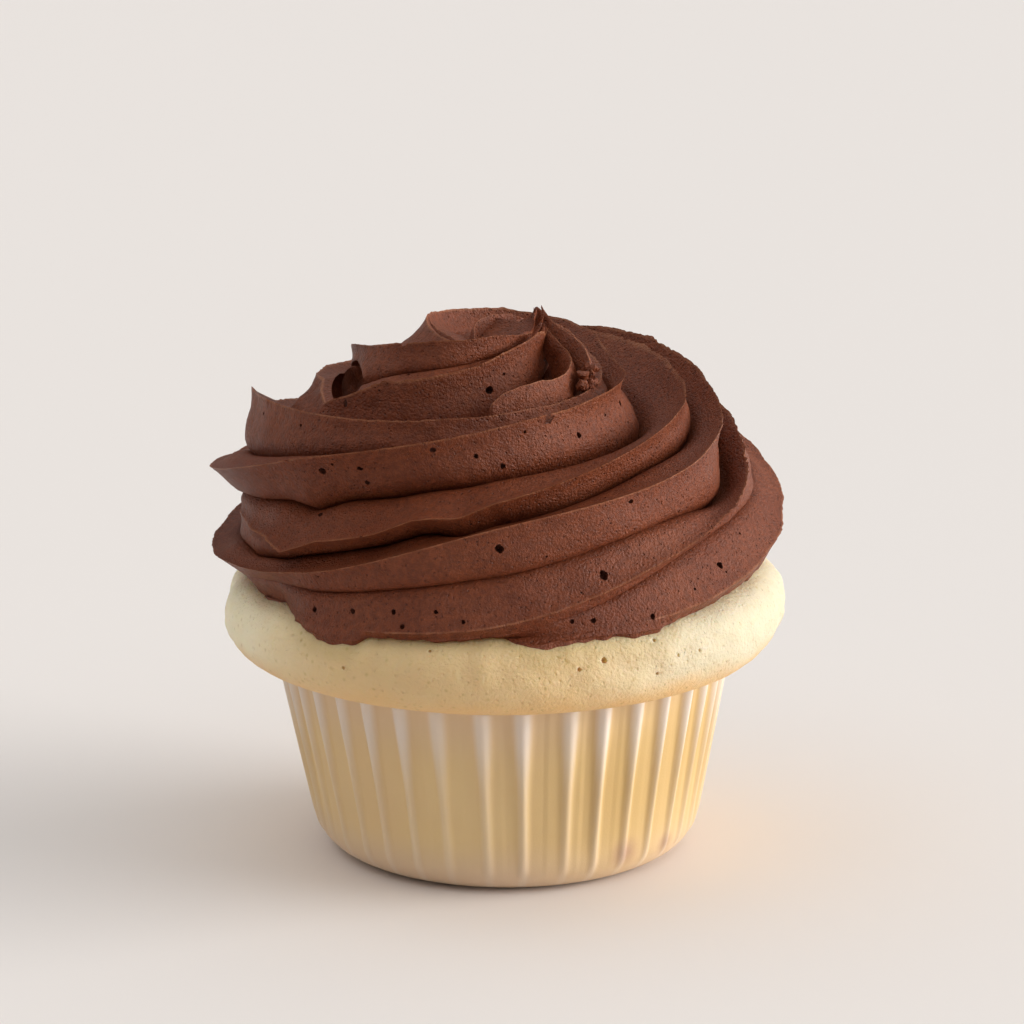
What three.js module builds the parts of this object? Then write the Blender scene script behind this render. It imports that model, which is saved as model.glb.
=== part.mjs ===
// Cupcake: a pleated paper case, a cake that has risen over its rim, and a swirl of
// piped buttercream. Millimetres, +Z up. The origin is the centre of the flat base,
// and the front faces -Y.

import * as THREE from 'three';
import { mergeVertices } from 'three/addons/utils/BufferGeometryUtils.js';

const GAP = 0.3;                 // room left between pieces that touch
const FULL_TURN = 2 * Math.PI;

// Paper case: a flat base, a rounded corner and a flared wall that is folded in pleats.
const CASE_HEIGHT = 27.5;
const CASE_CORNER_RADIUS = 25.8; // where the wall's slope would meet the table
const CASE_CORNER_ROUND = 3.2;
const CASE_SLOPE = 0.19;         // radius that the wall gains per millimetre of height
const PAPER = 0.5;
const PLEATS = 34;
const PLEAT_PROUD = 0.8;         // how far a fold stands out at the rim
const PLEAT_DRIFT = 0.12;        // how unevenly the folds are spaced, in pleats
const PLEAT_START = 3.0;         // height where the folds begin
const WALL_STEPS = 4;
const CORNER_STEPS = 3;

// Cake: a plug that fills the case, a rounded lip that overhangs it, and a low crown.
const LIP_CENTRE_RADIUS = 32.7;
const LIP_HEIGHT = 33.7;         // height of the middle of the lip
const LIP_ROUND = 5.7;           // radius of the lip's round edge
const LIP_TILT = 0.021;          // the cake stands higher at the right
const LIP_WOBBLE = 0.35;         // how far from round the lip is
const CROWN = 2.4;               // rise of the top from the lip to its middle
const LIP_STEPS = 9;
const CAKE_SIDES = 64;

// Buttercream: four ridges wind up round the mound, each half a level further up at
// every eighth of a turn. Each outline lists the crests that one upright half-plane
// cuts, from the lowest up, as [distance from the axis, height].
const OUTLINES = [
  [[38.0, 41.0], [37.5, 46.0], [39.3, 51.0], [32.0, 56.8], [26.5, 64.2], [22.5, 67.5],
    [14.5, 71.3], [6.5, 73.3]],                                           // back left
  [[39.4, 41.9], [35.3, 46.8], [39.9, 53.2], [33.6, 63.7], [25.0, 65.6], [22.0, 69.5],
    [13.5, 72.7]],                                                        // left
  [[36.9, 37.6], [36.6, 45.2], [36.1, 49.3], [33.7, 60.5], [28.5, 64.7], [18.9, 68.3],
    [15.6, 72.3], [9.5, 73.2]],                                           // front left
  [[36.4, 40.9], [35.2, 53.8], [32.8, 56.6], [26.1, 65.0], [21.9, 65.7], [11.6, 71.0],
    [7.0, 72.5]],                                                         // front
  [[37.5, 41.2], [35.4, 48.8], [32.8, 58.0], [27.6, 61.8], [19.8, 67.5], [16.2, 66.8],
    [6.6, 71.2], [3.6, 73.0]],                                            // front right
  [[38.6, 47.6], [33.4, 53.9], [29.4, 61.2], [24.3, 63.7], [15.9, 67.2], [11.2, 68.2],
    [6.2, 70.6]],                                                         // right
  [[37.5, 43.0], [39.5, 51.0], [34.2, 58.0], [28.7, 65.6], [23.3, 67.3], [15.5, 68.5],
    [9.5, 70.0], [4.5, 73.0]],                                            // back right
];
const STATIONS = 8;              // eighths of a turn, counted from the back left
const LEVELS_PER_TURN = 4;
const TOP_LEVEL = 8;
const PEAK_HEIGHT = 75.3;
const PEAK_SHIFT = 4.8;          // how far the peak leans to the right
const LEAN_START = 64;           // height where that lean begins
const FOOT_RADIUS = 34.1;
const FOOT_FRONT = 2.3;          // how much further out the foot lies at the front
const FOOT_WAVE = 0.8;
const FOOT_WAVES = 7;
const VALLEY_DEPTH = 4.2;
const VALLEY_PLACE = 0.38;       // where the crease lies between two crests
const VALLEY_SHARES = [0, VALLEY_PLACE, 0.6, 0.8];
const FOOT_HOLLOW = 1.0;         // depth of the hollow below the lowest ridge
const STEEPEST = 0.75;           // greatest depth of a valley, as a share of its width
const SLIMMEST = 0.3;            // and as a share of the mound's radius there
const SWIRL_SIDES = 80;          // a multiple of the number of stations

// Closes rings of points, each of the same number, between two points on the axis.
function ringGeometry(bottom, rings, top) {
  const sides = rings[0].length;
  const points = [bottom, ...rings.flat(), top];
  const last = points.length - 1;
  const at = (ring, side) => 1 + ring * sides + (side % sides);
  const faces = [];
  for (let side = 0; side < sides; side += 1) {
    faces.push(0, at(0, side + 1), at(0, side));
    for (let ring = 0; ring + 1 < rings.length; ring += 1) {
      faces.push(at(ring, side), at(ring, side + 1), at(ring + 1, side + 1));
      faces.push(at(ring, side), at(ring + 1, side + 1), at(ring + 1, side));
    }
    faces.push(last, at(rings.length - 1, side), at(rings.length - 1, side + 1));
  }
  const geometry = new THREE.BufferGeometry();
  geometry.setAttribute('position', new THREE.Float32BufferAttribute(points.flat(), 3));
  geometry.setIndex(faces);
  return geometry;
}

function polar(radius, angle, height) {
  return [radius * Math.cos(angle), radius * Math.sin(angle), height];
}

function smoothStep(low, high, value) {
  return THREE.MathUtils.smoothstep(value, low, high);
}

// ---- Paper case ----

function wallRadius(height) {
  return CASE_CORNER_RADIUS + CASE_SLOPE * height;
}

// Outline of the case without its pleats, from the base's edge up to the rim.
function caseOutline() {
  const tilt = Math.atan(CASE_SLOPE);
  const cornerHeight = CASE_CORNER_ROUND * (1 - Math.sin(tilt));
  const cornerCentre = wallRadius(cornerHeight) - CASE_CORNER_ROUND * Math.cos(tilt);
  const outline = [];
  for (let step = 0; step <= CORNER_STEPS; step += 1) {
    const turn = -Math.PI / 2 + (Math.PI / 2 - tilt) * step / CORNER_STEPS;
    outline.push([
      cornerCentre + CASE_CORNER_ROUND * Math.cos(turn),
      CASE_CORNER_ROUND * (1 + Math.sin(turn)),
    ]);
  }
  for (let step = 1; step <= WALL_STEPS; step += 1) {
    const height = THREE.MathUtils.lerp(cornerHeight, CASE_HEIGHT, step / WALL_STEPS);
    outline.push([wallRadius(height), height]);
  }
  return outline;
}

// A pleat is a flat panel with a fold along its middle; the folds are unevenly spaced.
function pleatDirections() {
  const profile = [[0, 0], [0.28, 0.1], [0.5, 1], [0.72, 0.1]];
  const directions = [];
  for (let pleat = 0; pleat < PLEATS; pleat += 1) {
    const drift = PLEAT_DRIFT * (Math.sin(2.4 * pleat) + Math.sin(5.3 * pleat));
    for (const [share, fold] of profile) {
      const shift = share === 0 ? 0 : drift;
      directions.push({ angle: FULL_TURN * (pleat + share + shift) / PLEATS, fold });
    }
  }
  return directions;
}

function caseGeometry() {
  const directions = pleatDirections();
  const outline = caseOutline();
  const proud = (height) => PLEAT_PROUD
    * Math.sqrt(Math.max(0, height - PLEAT_START) / (CASE_HEIGHT - PLEAT_START));
  const outer = outline.map(([radius, height]) => directions.map(
    ({ angle, fold }) => polar(radius + fold * proud(height), angle, height),
  ));
  const innerHeights = [CASE_HEIGHT, CASE_CORNER_ROUND];
  const inner = innerHeights.map((height) => directions.map(
    ({ angle }) => polar(wallRadius(height) - PAPER, angle, height),
  ));
  const floorRadius = outline[0][0] + PAPER;
  inner.push(directions.map(({ angle }) => polar(floorRadius, angle, PAPER)));
  return ringGeometry([0, 0, 0], [...outer, ...inner], [0, 0, PAPER]);
}

// ---- Cake ----

function lipLift(x) {
  return LIP_TILT * x;
}

// Height of the cake's upper surface at a distance from the axis.
function cakeTop(radius, angle) {
  const lift = LIP_HEIGHT + lipLift(radius * Math.cos(angle));
  if (radius < LIP_CENTRE_RADIUS) {
    return lift + LIP_ROUND + CROWN * (1 - (radius / LIP_CENTRE_RADIUS) ** 2);
  }
  return lift + Math.sqrt(LIP_ROUND ** 2 - (radius - LIP_CENTRE_RADIUS) ** 2);
}

function cakeGeometry() {
  const angles = Array.from({ length: CAKE_SIDES }, (_, side) => FULL_TURN * side / CAKE_SIDES);
  const plugRadius = (height) => wallRadius(height) - PAPER - GAP;
  const floor = PAPER + GAP;
  const footRadius = CASE_CORNER_RADIUS - CASE_CORNER_ROUND;
  const rings = [
    angles.map((angle) => polar(footRadius, angle, floor)),
    angles.map((angle) => polar(plugRadius(CASE_CORNER_ROUND), angle, CASE_CORNER_ROUND + GAP)),
    angles.map((angle) => polar(plugRadius(CASE_HEIGHT), angle, CASE_HEIGHT)),
  ];
  const underside = -0.62 * Math.PI;
  for (let step = 0; step <= LIP_STEPS; step += 1) {
    const turn = THREE.MathUtils.lerp(underside, Math.PI / 2, step / LIP_STEPS);
    rings.push(angles.map((angle) => {
      const bulge = LIP_WOBBLE * Math.sin(3 * angle + 1) * Math.max(0, Math.cos(turn));
      const radius = LIP_CENTRE_RADIUS + (LIP_ROUND + bulge) * Math.cos(turn);
      const lift = lipLift(radius * Math.cos(angle)) * smoothStep(-1, 0, Math.sin(turn));
      return polar(radius, angle, LIP_HEIGHT + lift + LIP_ROUND * Math.sin(turn));
    }));
  }
  for (const share of [0.7, 0.35]) {
    const radius = share * LIP_CENTRE_RADIUS;
    rings.push(angles.map((angle) => polar(radius, angle, cakeTop(radius, angle))));
  }
  return ringGeometry([0, 0, floor], rings, [0, 0, cakeTop(0, 0)]);
}

// ---- Buttercream swirl ----

function stationAngle(station) {
  return FULL_TURN * (station + 3) / STATIONS;
}

function levelAt(ridge, station) {
  return ridge + LEVELS_PER_TURN * (station - 1) / STATIONS;
}

// Where the mound's edge lies on the cake, as [distance from the axis, height].
function footPoint(station) {
  const angle = stationAngle(station);
  const radius = FOOT_RADIUS + FOOT_FRONT * Math.max(0, -Math.sin(angle))
    + FOOT_WAVE * Math.cos(FOOT_WAVES * angle - 1);
  return [radius, cakeTop(radius, angle) + GAP];
}

// Crest of a ridge at a whole station. The back's outline is midway between its
// neighbours'.
function stationCrest(ridge, station) {
  const side = THREE.MathUtils.euclideanModulo(station, STATIONS);
  if (side >= OUTLINES.length) {
    const before = stationCrest(ridge, station - 1);
    const after = stationCrest(ridge, station + 1);
    return before.map((value, axis) => (value + after[axis]) / 2);
  }
  const index = Math.ceil(levelAt(ridge, station)) - 1;
  if (index < 0) {
    return footPoint(station);
  }
  return OUTLINES[side][index] ?? [0, PEAK_HEIGHT];
}

// Crest of a ridge at any station: a smooth curve through the whole stations.
function crest(ridge, station) {
  const level = levelAt(ridge, station);
  if (level <= 0) {
    return footPoint(station);
  }
  if (level >= TOP_LEVEL) {
    return [0, PEAK_HEIGHT];
  }
  const start = Math.floor(station);
  const share = station - start;
  const [before, from, to, after] = [-1, 0, 1, 2].map(
    (offset) => stationCrest(ridge, start + offset),
  );
  return from.map((value, axis) => {
    const slopeIn = (to[axis] - before[axis]) / 2;
    const slopeOut = (after[axis] - value) / 2;
    const step = to[axis] - value;
    return value + slopeIn * share + (3 * step - 2 * slopeIn - slopeOut) * share ** 2
      + (slopeIn + slopeOut - 2 * step) * share ** 3;
  });
}

// A point on the mound, a share of the way from one ridge's crest to the next one's.
function swirlPoint(ridge, share, station) {
  const lower = crest(ridge, station);
  const upper = crest(ridge + 1, station);
  const out = upper[0] - lower[0];
  const up = upper[1] - lower[1];
  const width = Math.hypot(out, up);
  const hollow = THREE.MathUtils.lerp(
    FOOT_HOLLOW, VALLEY_DEPTH, smoothStep(0, 1, levelAt(ridge, station)),
  );
  const deepest = Math.min(hollow, STEEPEST * width, SLIMMEST * lower[0]);
  const descent = Math.min(share / VALLEY_PLACE, (1 - share) / (1 - VALLEY_PLACE));
  const inward = width > 0 ? deepest * descent / width : 0;
  const radius = lower[0] + out * share - up * inward;
  const height = lower[1] + up * share + out * inward;
  const [x, y, z] = polar(radius, stationAngle(station), height);
  return [x + PEAK_SHIFT * smoothStep(LEAN_START, PEAK_HEIGHT, height), y, z];
}

// Splits the strip between two ridges into triangles, for one whole turn.
function swirlFaces() {
  const corner = (ridge, column, side) => {
    const turns = Math.floor(side / SWIRL_SIDES);
    const station = STATIONS * (side % SWIRL_SIDES) / SWIRL_SIDES;
    const whole = Math.floor(column / VALLEY_SHARES.length);
    const share = VALLEY_SHARES[column % VALLEY_SHARES.length];
    return swirlPoint(ridge + whole + LEVELS_PER_TURN * turns, share, station);
  };
  const triangles = [];
  for (let ridge = -LEVELS_PER_TURN; ridge <= TOP_LEVEL; ridge += 1) {
    for (let column = 0; column < VALLEY_SHARES.length; column += 1) {
      for (let side = 0; side < SWIRL_SIDES; side += 1) {
        const low = corner(ridge, column, side);
        const lowNext = corner(ridge, column, side + 1);
        const high = corner(ridge, column + 1, side);
        const highNext = corner(ridge, column + 1, side + 1);
        triangles.push([low, lowNext, highNext], [low, highNext, high]);
      }
    }
  }
  return triangles;
}

// The mound's underside follows the cake.
function undersideFaces() {
  const shares = [1, 0.96, 0.9, 0.6, 0.3, 0];
  const corner = (ring, side) => {
    const station = STATIONS * (side % SWIRL_SIDES) / SWIRL_SIDES;
    const angle = stationAngle(station);
    const radius = footPoint(station)[0] * shares[ring];
    return polar(radius, angle, cakeTop(radius, angle) + GAP);
  };
  const triangles = [];
  for (let ring = 0; ring + 1 < shares.length; ring += 1) {
    for (let side = 0; side < SWIRL_SIDES; side += 1) {
      const outer = corner(ring, side);
      const outerNext = corner(ring, side + 1);
      const inner = corner(ring + 1, side);
      const innerNext = corner(ring + 1, side + 1);
      triangles.push([outer, inner, innerNext], [outer, innerNext, outerNext]);
    }
  }
  return triangles;
}

// Shares the corners of loose triangles, and drops the triangles that shrink to a line.
function weld(triangles) {
  const loose = new THREE.BufferGeometry();
  loose.setAttribute('position', new THREE.Float32BufferAttribute(triangles.flat(2), 3));
  const welded = mergeVertices(loose, 1e-3);
  const corners = Array.from(welded.index.array);
  const kept = [];
  for (let start = 0; start < corners.length; start += 3) {
    const [a, b, c] = corners.slice(start, start + 3);
    if (a !== b && b !== c && c !== a) {
      kept.push(a, b, c);
    }
  }
  welded.setIndex(kept);
  return welded;
}

// ---- The object ----

function piece(name, geometry, color, roughness) {
  const material = new THREE.MeshStandardMaterial({ color, roughness, metalness: 0 });
  const mesh = new THREE.Mesh(geometry, material);
  mesh.name = name;
  return mesh;
}

const cupcake = new THREE.Group();
cupcake.add(piece('paper_case', caseGeometry(), 0xcfa97c, 0.6));
cupcake.add(piece('cake', cakeGeometry(), 0xe9d9b0, 0.85));
cupcake.add(piece('frosting', weld([...swirlFaces(), ...undersideFaces()]), 0x6e432f, 0.7));

export default cupcake;
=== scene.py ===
# %% [markdown]
# # A cupcake with a piped chocolate swirl
#
# The cupcake has three pieces: a pleated paper case, a sponge that has risen over the
# case's rim, and a mound of buttercream that a star nozzle has wound up in four ridges.
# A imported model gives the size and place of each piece. This lesson keeps to that frame
# and makes each piece again with the fine form and the finish of the real thing.

# %% Open the frame
import math
import bpy
import numpy as np
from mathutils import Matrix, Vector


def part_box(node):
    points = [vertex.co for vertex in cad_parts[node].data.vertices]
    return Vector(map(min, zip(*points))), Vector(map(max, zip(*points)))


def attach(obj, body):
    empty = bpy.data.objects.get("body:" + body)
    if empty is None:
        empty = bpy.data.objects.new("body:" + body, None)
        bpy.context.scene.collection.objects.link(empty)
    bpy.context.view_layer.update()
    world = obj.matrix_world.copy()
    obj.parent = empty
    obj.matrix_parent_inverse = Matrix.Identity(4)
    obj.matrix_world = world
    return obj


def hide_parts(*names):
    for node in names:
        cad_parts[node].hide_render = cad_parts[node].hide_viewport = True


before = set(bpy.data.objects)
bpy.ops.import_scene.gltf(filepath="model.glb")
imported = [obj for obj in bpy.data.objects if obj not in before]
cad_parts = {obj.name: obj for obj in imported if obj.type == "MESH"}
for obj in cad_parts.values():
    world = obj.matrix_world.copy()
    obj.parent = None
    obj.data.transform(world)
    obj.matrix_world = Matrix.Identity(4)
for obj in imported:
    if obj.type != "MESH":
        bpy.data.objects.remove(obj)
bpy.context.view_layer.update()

MM = 0.001                      # sizes below are in millimetres, and Blender works in metres
FULL_TURN = 2 * math.pi
print("frame nodes:", sorted(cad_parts))

# %% [markdown]
# ## The camera
#
# The cupcake is seen from a little above, through a long lens, as food is often shown:
# a long lens keeps the near and far sides of the swirl in proportion. The camera comes
# first, because every later look is judged through it.

# %% Place the camera
CAMERA_AWAY = 608               # in front of the case's base
CAMERA_HEIGHT = 208.05
CAMERA_ASIDE = 1.4
CAMERA_PITCH = math.radians(14.874)
LENS = 161.72                   # for a sensor 36 mm wide

camera_data = bpy.data.cameras.new("camera")
camera_data.lens = LENS
camera_data.sensor_width = 36
camera_data.clip_start = 0.01
camera_data.clip_end = 20
camera = bpy.data.objects.new("camera", camera_data)
camera.location = (CAMERA_ASIDE * MM, -CAMERA_AWAY * MM, CAMERA_HEIGHT * MM)
camera.rotation_euler = (math.pi / 2 - CAMERA_PITCH, 0, 0)
bpy.context.scene.collection.objects.link(camera)
bpy.context.scene.camera = camera
print("camera at", [round(value, 3) for value in camera.location])

# %% [markdown]
# ## Helpers for meshes
#
# A rounded piece can be thought of as a grid of points that is bent in space. The helpers
# set points round the axis, turn a grid of rings into faces, and make a Blender object whose
# origin stays at the frame's origin, so that its place is in its points.


# %% Helpers for meshes
def on_circle(radius, angle, height):
    """Points at a distance from the axis, in a direction from it, at a height."""
    placed = np.broadcast_arrays(radius * np.cos(angle), radius * np.sin(angle), height)
    return np.stack(placed, axis=-1)


def grid_faces(rows, columns):
    """Four-sided faces of a grid whose rows close into rings, numbered row by row."""
    row, column = np.meshgrid(np.arange(rows - 1), np.arange(columns), indexing="ij")
    beside = (column + 1) % columns
    here = row * columns
    corners = [here + column, here + beside, here + columns + beside, here + columns + column]
    return np.stack(corners, axis=-1).reshape(-1, 4)


def make_object(name, points, faces, edges=()):
    """A smoothly shaded object from points in millimetres and the faces between them."""
    mesh = bpy.data.meshes.new(name)
    mesh.from_pydata((np.asarray(points) * MM).tolist(), edges, [list(face) for face in faces])
    mesh.validate()
    piece = bpy.data.objects.new(name, mesh)
    bpy.context.scene.collection.objects.link(piece)
    mesh.shade_smooth()
    return piece


def mesh_points(mesh):
    """The mesh's points in metres, one in each row."""
    points = np.zeros(len(mesh.vertices) * 3)
    mesh.vertices.foreach_get("co", points)
    return points.reshape(-1, 3)


def volume(mesh):
    """Signed volume in cubic centimetres: it is positive when the faces point outwards."""
    mesh.calc_loop_triangles()
    count = len(mesh.loop_triangles)
    corners = np.zeros(count * 3, np.int32)
    mesh.loop_triangles.foreach_get("vertices", corners)
    a, b, c = mesh_points(mesh)[corners].reshape(count, 3, 3).swapaxes(0, 1)
    return np.einsum("ij,ij->", a, np.cross(b, c)) / 6 * 1e6


print("a grid of 3 rings of 4 points has", len(grid_faces(3, 4)), "faces")

# %% [markdown]
# ## Helpers for node trees
#
# Geometry trees and shader trees are both built in code here. `add` makes a node, links
# the inputs that are given another node's output, and sets the others to plain values.
# The smaller helpers beside it make the kinds of node that come back most often.


# %% Helpers for node trees
def switched_on(sockets, name):
    """The socket of that name that the node's own settings leave in use."""
    return next(s for s in sockets if s.enabled and name in (s.name, s.identifier))


def add(tree, kind, inputs=None, output=None, **settings):
    """Adds a node and returns its first output in use, or the one that is named."""
    node = tree.nodes.new(kind)
    for name, value in settings.items():
        setattr(node, name, value)
    for name, value in (inputs or {}).items():
        target = switched_on(node.inputs, name)
        if isinstance(value, bpy.types.NodeSocket):
            tree.links.new(value, target)
        else:
            target.default_value = value
    if output:
        return switched_on(node.outputs, output)
    return next((s for s in node.outputs if s.enabled), node)


def sums(tree, operation, *values):
    """A Math node on one, two or three values."""
    node = tree.nodes.new("ShaderNodeMath")
    node.operation = operation
    for place, value in enumerate(values):
        if isinstance(value, bpy.types.NodeSocket):
            tree.links.new(value, node.inputs[place])
        else:
            node.inputs[place].default_value = value
    return node.outputs[0]


def axes(tree, vector):
    """The x, y and z of a vector."""
    return add(tree, "ShaderNodeSeparateXYZ", {"Vector": vector}).node.outputs


def ramp(tree, value, low, high, start=0.0, end=1.0, smooth=True):
    """Maps a value from low..high to start..end, and holds it there outside."""
    return add(tree, "ShaderNodeMapRange", {
        "Value": value, "From Min": low, "From Max": high, "To Min": start, "To Max": end,
    }, interpolation_type="SMOOTHSTEP" if smooth else "LINEAR")


def blend_colors(tree, factor, first, second):
    return add(tree, "ShaderNodeMix", {"Factor": factor, "A": first, "B": second},
               output="Result", data_type="RGBA")


def open_group(name, kind, inputs, outputs):
    """A node group. A number sets a socket's kind, and None takes the kind from its name."""
    tree = bpy.data.node_groups.new(name, kind)
    sockets = {float: "NodeSocketFloat", int: "NodeSocketInt"}
    for way, group in (("INPUT", inputs), ("OUTPUT", outputs)):
        for label, value in group.items():
            made = tree.interface.new_socket(
                label, in_out=way, socket_type=sockets.get(type(value), "NodeSocket" + label))
            if value is not None:
                made.default_value = value
    return tree, tree.nodes.new("NodeGroupInput").outputs, tree.nodes.new("NodeGroupOutput")


def close_geometry(tree, geometry, inputs, outputs):
    """Ends a Geometry Nodes tree with plain mesh that wears the tree's material."""
    real = add(tree, "GeometryNodeRealizeInstances", {"Geometry": geometry})
    covered = add(tree, "GeometryNodeSetMaterial", {
        "Geometry": real, "Material": inputs["Material"]})
    tree.links.new(covered, outputs.inputs["Geometry"])
    return tree


def store(tree, geometry, name, value):
    """Stores a number for each point, which a material can read."""
    return add(tree, "GeometryNodeStoreNamedAttribute", {
        "Geometry": geometry, "Name": name, "Value": value}, data_type="FLOAT", domain="POINT")


def random_between(tree, least, most, **inputs):
    return add(tree, "FunctionNodeRandomValue", {"Min": least, "Max": most, **inputs},
               data_type="FLOAT")


def bake(piece):
    """Turns the piece's modifiers into plain mesh."""
    piece.update_tag()
    bpy.context.view_layer.update()
    evaluated = piece.evaluated_get(bpy.context.evaluated_depsgraph_get())
    mesh = bpy.data.meshes.new_from_object(evaluated)
    piece.modifiers.clear()
    old, piece.data = piece.data, mesh
    bpy.data.meshes.remove(old)
    mesh.name = piece.name


def run_tree(piece, tree, values):
    """Gives the piece a Geometry Nodes modifier with these inputs, and bakes its result."""
    modifier = piece.modifiers.new(tree.name, "NODES")
    modifier.node_group = tree
    for item in tree.interface.items_tree:
        if item.in_out == "INPUT" and item.name in values:
            modifier[item.identifier] = values[item.name]
    bake(piece)


print("node helpers are ready")

# %% [markdown]
# ## Shared finishes
#
# Sponge, buttercream and baking paper all have a fine grain and slow changes of colour.
# Both effects are node groups, so that each material uses the same building block with
# its own sizes. A group puts out plain masks and heights, and each material decides what
# they do.


# %% Build the shared shader groups
CELLS_PER_GRAIN = 0.45
PORE_DEPTH = 0.7                # of the height of the grain


def grain_group():
    """Fine grain: a height for bump and a mask of the pores between the grains."""
    tree, inputs, outputs = open_group(
        "fine grain", "ShaderNodeTree",
        {"Grain Size": 0.4, "Pore Share": 0.2}, {"Height": 0.0, "Pores": 0.0})
    place = add(tree, "ShaderNodeTexCoord", output="Object")
    scale = sums(tree, "DIVIDE", 1 / MM, inputs["Grain Size"])
    noise = add(tree, "ShaderNodeTexNoise", {
        "Vector": place, "Scale": scale, "Detail": 3.0, "Roughness": 0.6})
    cells = add(tree, "ShaderNodeTexVoronoi", {
        "Vector": place, "Scale": sums(tree, "MULTIPLY", scale, CELLS_PER_GRAIN)}, output="Distance")
    pores = ramp(tree, cells, 0.0, inputs["Pore Share"], 1.0, 0.0)
    height = sums(tree, "SUBTRACT", noise, sums(tree, "MULTIPLY", pores, PORE_DEPTH))
    tree.links.new(height, outputs.inputs["Height"])
    tree.links.new(pores, outputs.inputs["Pores"])
    return tree


def patches_group():
    """Slow, soft patches, from 0 to 1."""
    tree, inputs, outputs = open_group(
        "soft patches", "ShaderNodeTree",
        {"Patch Size": 12.0, "Contrast": 1.0}, {"Mask": 0.0})
    place = add(tree, "ShaderNodeTexCoord", output="Object")
    scale = sums(tree, "DIVIDE", 1 / MM, inputs["Patch Size"])
    noise = add(tree, "ShaderNodeTexNoise", {"Vector": place, "Scale": scale, "Detail": 2.0})
    spread = sums(tree, "MULTIPLY", sums(tree, "SUBTRACT", noise, 0.5), inputs["Contrast"])
    mask = add(tree, "ShaderNodeClamp", {"Value": sums(tree, "MULTIPLY_ADD", spread, 2.0, 0.5)})
    tree.links.new(mask, outputs.inputs["Mask"])
    return tree


GRAIN = grain_group()
PATCHES = patches_group()
print("shader groups:", GRAIN.name, "and", PATCHES.name)


# %% Helpers for materials
def own_height(tree):
    """Height in the piece's own coordinates, in metres."""
    return axes(tree, add(tree, "ShaderNodeTexCoord", output="Object"))[2]


def stored(tree, name):
    """The number that each point of the piece carries under a name."""
    return add(tree, "ShaderNodeAttribute", attribute_name=name, output="Fac")


def grouped(tree, group, first, second):
    """Places a shader group with its two inputs in a material, and returns its outputs."""
    node = tree.nodes.new("ShaderNodeGroup")
    node.node_tree = group
    node.inputs[0].default_value = first
    node.inputs[1].default_value = second
    return node.outputs


def patches(tree, size, contrast):
    return grouped(tree, PATCHES, size, contrast)["Mask"]


def grain(tree, output, size, pores):
    return grouped(tree, GRAIN, size, pores)[output]


def open_material(name, **constants):
    """A material with one Principled shader, whose constant sockets are set here."""
    material = bpy.data.materials.new(name)
    material.use_nodes = True
    tree = material.node_tree
    shader = next(node for node in tree.nodes if node.type == "BSDF_PRINCIPLED")
    for label, value in constants.items():
        shader.inputs[label.replace("_", " ")].default_value = value
    return material, tree, shader


def plug(tree, shader, **sockets):
    """Links values to the shader's sockets."""
    for label, value in sockets.items():
        tree.links.new(value, shader.inputs[label.replace("_", " ")])


def bump(tree, height, distance, strength=1.0):
    return add(tree, "ShaderNodeBump", {
        "Height": height, "Distance": distance * MM, "Strength": strength})


def near_spot(tree, centre, reach, full=0.0):
    """A mask that falls from 1 to 0 between two distances from a spot, in millimetres."""
    place = add(tree, "ShaderNodeTexCoord", output="Object")
    away = add(tree, "ShaderNodeVectorMath", {
        "Vector": place, "Vector_001": [value * MM for value in centre]},
        output="Value", operation="DISTANCE")
    return ramp(tree, away, full * MM, reach * MM, 1.0, 0.0)


def tint_spots(tree, color, spots, tint):
    """Blends a tint into a colour round spots: [centre, reach, reach of the full tint]."""
    for spot in spots:
        color = blend_colors(tree, near_spot(tree, *spot), color, tint)
    return color


print("material helpers are ready")

# %% [markdown]
# ## The paper case
#
# A baking case is one disc of thin paper, pressed into a cup so that its wall falls into
# narrow folds. Each fold is a thin rounded ridge with a wider flat beside it, and it opens
# towards the rim. Batter soaks the paper with butter wherever the cake touches it, so that
# only the folds near the rim stay dry and white.
#
# The wall repeats, so Geometry Nodes make it: a grid is rolled into a ring, each row
# takes its distance from the axis from an outline that is drawn once, and a fold rule
# moves the points in and out. The dry share of each fold is stored as an attribute, which
# the paper's material reads.

# %% Measure the case
_, case_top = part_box("paper_case")
CASE_HEIGHT = case_top[2] / MM
CASE_CORNER_RADIUS = 25.8       # where the wall's slope would meet the table
CASE_CORNER_ROUND = 6.0
CASE_SLOPE = 0.19               # radius that the wall gains per millimetre of height
PAPER = 0.16                    # thickness of the baking paper
PLEATS = 40
print("the case is", round(CASE_HEIGHT, 1), "mm high")


def wall_radius(height):
    return CASE_CORNER_RADIUS + CASE_SLOPE * height


def case_outline():
    """Half of the case's outline, from the middle of the base to the rim."""
    tilt = math.atan(CASE_SLOPE)
    corner_top = CASE_CORNER_ROUND * (1 - math.sin(tilt))
    centre = wall_radius(corner_top) - CASE_CORNER_ROUND * math.cos(tilt)
    outline = [(0, 0)]
    for turn in np.linspace(-math.pi / 2, -tilt, 9):
        outline.append((centre + CASE_CORNER_ROUND * math.cos(turn),
                        CASE_CORNER_ROUND * (1 + math.sin(turn))))
    outline.append((wall_radius(CASE_HEIGHT), CASE_HEIGHT))
    return outline


# %% Build the tree that folds the paper
FOLD_DEPTHS = (0.7, 1.25)       # how unlike each other the folds are
CREST_PLACES = (0.43, 0.57)     # where a fold's crest lies in its pleat
FOLD_WIDTHS = (0.2, 0.34)       # half a fold, as a share of its pleat, low down and at the rim
FOLD_INWARDS = 0.7              # the share of the depth that goes in between the folds
DRY_ON_FOLD = (0.3, 0.8, 1.0, 0.0)              # from and to, in half folds, and how dry
DRY_LOW_DOWN = 0.25             # how dry the folds are where the paper is soaked
LEAN_AT_RIM = 0.2               # the share of the lean that is left at the rim


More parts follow.
